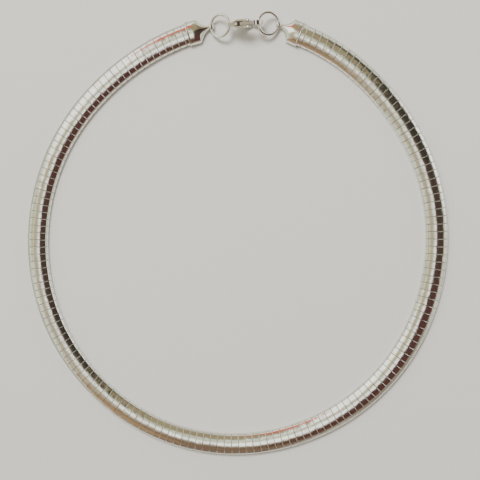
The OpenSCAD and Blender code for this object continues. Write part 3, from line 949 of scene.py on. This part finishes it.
def pin_shape():
    half = CLASP_T / 2
    side = [(share * PIN_R, -half + inward) for share, inward in PIN_HEAD]
    side += [(radius, -y) for radius, y in reversed(side)]
    turns = [2 * pi * k / PIN_SIDES for k in range(PIN_SIDES)]
    rows = [[(PIN_X + radius * cos(turn), y, PIN_Z + radius * sin(turn)) for turn in turns]
            for radius, y in side]
    points, faces = skin(rows, capped=True)
    return shape("clasp_pin", points, faces, at_clasp, 50, None, finding_metal)


clasp_pin = pin_shape()
print("pin faces:", len(clasp_pin.data.polygons))

# %% [markdown]
# ## The floor and the light
# The necklace lies on a plain pale floor in soft studio light. The floor is matt, with a grain
# so fine that it only keeps the floor from looking like paper.

# %% Floor
FLOOR_HALF, FLOOR_GRAIN = 1.6, 0.8 * MM
FLOOR_DARK, FLOOR_PALE = (0.76, 0.755, 0.74, 1), (0.80, 0.795, 0.78, 1)


def floor_shape():
    corners = [(x * FLOOR_HALF, y * FLOOR_HALF, 0) for x, y in ((-1, -1), (1, -1), (1, 1), (-1, 1))]
    mesh = bpy.data.meshes.new("floor")
    mesh.from_pydata(corners, [], [(0, 1, 2, 3)])
    floor = bpy.data.objects.new("floor", mesh)
    bpy.context.scene.collection.objects.link(floor)
    material, board = new_material("pale_floor")
    place = board.node("ShaderNodeTexCoord", out="Object")
    grain = clouds(board, place, FLOOR_GRAIN)
    shader = board.node("ShaderNodeBsdfPrincipled", {}, {
        "Base Color": board.mix_colours(grain, FLOOR_DARK, FLOOR_PALE),
        "Roughness": 0.85, "Specular IOR Level": 0.2})
    board.node("ShaderNodeOutputMaterial", {}, {"Surface": shader})
    mesh.materials.append(material)
    return floor


floor = floor_shape()
print("floor is", 2 * FLOOR_HALF, "m wide")

# %% [markdown]
# A mirror needs something to mirror. In a room there are pale walls and a ceiling, a window or
# two and darker things between them. So the air here is pale and uneven, and soft patches in
# it stand for those things. Each patch is given by its direction, as far off as the sky, so it
# stays where it is when the camera moves.

# %% The patches in the air
AIR_BRIGHTNESS = 2.2
DRIFT = 0.3  # how far noise bends the patches' edges
AIR_TONES = ((0.35, (0.31, 0.32, 0.235)), (0.62, (0.56, 0.58, 0.475)))  # a ramp over the noise
HORIZON = (0.10, 0.09, 0.08, 1)
PATCHES = (  # direction round, angle from overhead, reach, soft edge (all degrees), colour
    (138, 46, 24, 22, (0.98, 0.99, 0.93)),
    (190, 24, 14, 14, (0.27, 0.245, 0.14)),
    (182, 52, 9, 10, (0.31, 0.31, 0.17)),
    (228, 30, 17, 16, (0.26, 0.22, 0.155)),
    (-95, 60, 32, 12, (0.105, 0.07, 0.046)),
    (-90, 12, 12, 10, (0.95, 0.96, 0.91)),
    (-45, 62, 22, 16, (0.15, 0.125, 0.095)),
    (-62, 43, 17, 9, (0.06, 0.03, 0.024)),
    (-34, 34, 24, 12, (0.046, 0.02, 0.018)),
    (-4, 29, 25, 12, (0.048, 0.022, 0.019)),
    (28, 32, 25, 12, (0.035, 0.024, 0.02)),
    (54, 41, 21, 10, (0.022, 0.019, 0.016)),
    (94, 38, 22, 12, (0.18, 0.15, 0.085)),
    (121, 51, 8, 5, (0.42, 0.07, 0.045)),
    (234, 62, 15, 14, (0.21, 0.13, 0.065)),
    (25, 86, 24, 10, (1.0, 1.0, 0.97)),
)


def patch_centre(round_angle, from_overhead):
    flat = sin(radians(from_overhead)) * toward(radians(round_angle))
    return flat.real, flat.imag, cos(radians(from_overhead))


def room_air():
    world = bpy.data.worlds.new("studio")
    bpy.context.scene.world = world
    world.use_nodes = True
    board = Board(world.node_tree)
    way = board.node("ShaderNodeTexCoord", out="Generated")
    drift = board.node("ShaderNodeTexNoise", {}, {
        "Vector": way, "Scale": 3.0, "Detail": 2.0}, out="Color")
    bent = board.node("ShaderNodeVectorMath", {"operation": "MULTIPLY_ADD"}, {
        0: drift, 1: (DRIFT, DRIFT, DRIFT), 2: way})
    bent = board.node("ShaderNodeVectorMath", {"operation": "SUBTRACT"}, {
        0: bent, 1: (DRIFT / 2, DRIFT / 2, DRIFT / 2)})
    pale = board.node("ShaderNodeTexNoise", {}, {"Vector": way, "Scale": 2.2, "Detail": 2.0})
    shade = board.node("ShaderNodeValToRGB", {"stops": AIR_TONES}, {"Fac": pale})
    for round_angle, from_overhead, reach, soft, colour in PATCHES:
        away = board.node("ShaderNodeVectorMath", {"operation": "DISTANCE"}, {
            0: bent, 1: patch_centre(round_angle, from_overhead)}, out="Value")
        share = board.node("ShaderNodeMapRange", {"interpolation_type": "SMOOTHSTEP"}, {
            "Value": away, "From Min": radians(reach - soft / 2),
            "From Max": radians(reach + soft / 2), "To Min": 1.0, "To Max": 0.0})
        shade = board.mix_colours(share, shade, (*colour, 1))
    height = board.node("ShaderNodeSeparateXYZ", {}, {"Vector": way}, out="Z")
    low = board.node("ShaderNodeMapRange", {"interpolation_type": "SMOOTHSTEP"}, {
        "Value": height, "From Min": 0.04, "From Max": 0.34, "To Min": 0.85, "To Max": 0.0})
    shade = board.mix_colours(low, shade, HORIZON)
    mottle = board.node("ShaderNodeTexNoise", {}, {"Vector": way, "Scale": 11.0, "Detail": 2.0})
    back = board.node("ShaderNodeBackground", {}, {
        "Color": shade, "Strength": AIR_BRIGHTNESS * (0.6 + 0.8 * mottle)})
    board.node("ShaderNodeOutputWorld", {}, {"Surface": back})


room_air()
print("patches in the air:", len(PATCHES))

# %% [markdown]
# One soft lamp, up behind the clasp, gives the shadows their direction. The metal doesn't show
# it, because its hard square would cut across the soft patches.

# %% The lamp
KEY_AT, KEY_SIZE, KEY_BRIGHTNESS, KEY_COLOUR = (-0.35, 0.80, 1.10), 0.5, 26.0, (1.0, 0.99, 0.97)


def hang_key_lamp():
    data = bpy.data.lights.new("key_lamp", "AREA")
    data.size, data.color = KEY_SIZE, KEY_COLOUR
    data.energy = KEY_BRIGHTNESS * pi * KEY_SIZE ** 2
    lamp = bpy.data.objects.new("key_lamp", data)
    bpy.context.scene.collection.objects.link(lamp)
    lamp.location = KEY_AT
    lamp.rotation_euler = (-Vector(KEY_AT)).to_track_quat("-Z", "Y").to_euler()
    lamp.visible_camera = lamp.visible_glossy = False
    return lamp


key_lamp = hang_key_lamp()
print("lamp, W:", round(key_lamp.data.energy, 2))

# %% [markdown]
# ## Hand the pieces over
# Each piece rides on a body of the construction and hides the node that it stands for. The
# lever is the one body that moves.

# %% Ride and replace
HANDOVER = (  # piece, body, node that it stands for, slot
    (plates_row, "necklace", "plates", "polished_plates"),
    (ribbon, "necklace", "mesh_core", "woven_mesh"),
    (stitches, "necklace", "mesh_core", "woven_mesh"),
    (cap_left, "necklace", "left_cap", "polished_caps"),
    (tongue_left, "necklace", "left_cap", "polished_caps"),
    (cap_right, "necklace", "right_cap", "polished_caps"),
    (tongue_right, "necklace", "right_cap", "polished_caps"),
    (ring_left, "necklace", "left_ring", "polished_findings"),
    (ring_right, "necklace", "right_ring", "polished_findings"),
    (clasp_claw, "necklace", "clasp_body", "polished_findings"),
    (clasp_gate, "lever", "clasp_lever", "polished_findings"),
    (clasp_pin, "necklace", "lever_pin", "polished_findings"),
)
for piece, body, node, slot in HANDOVER:
    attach(piece, body)
    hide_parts(node)
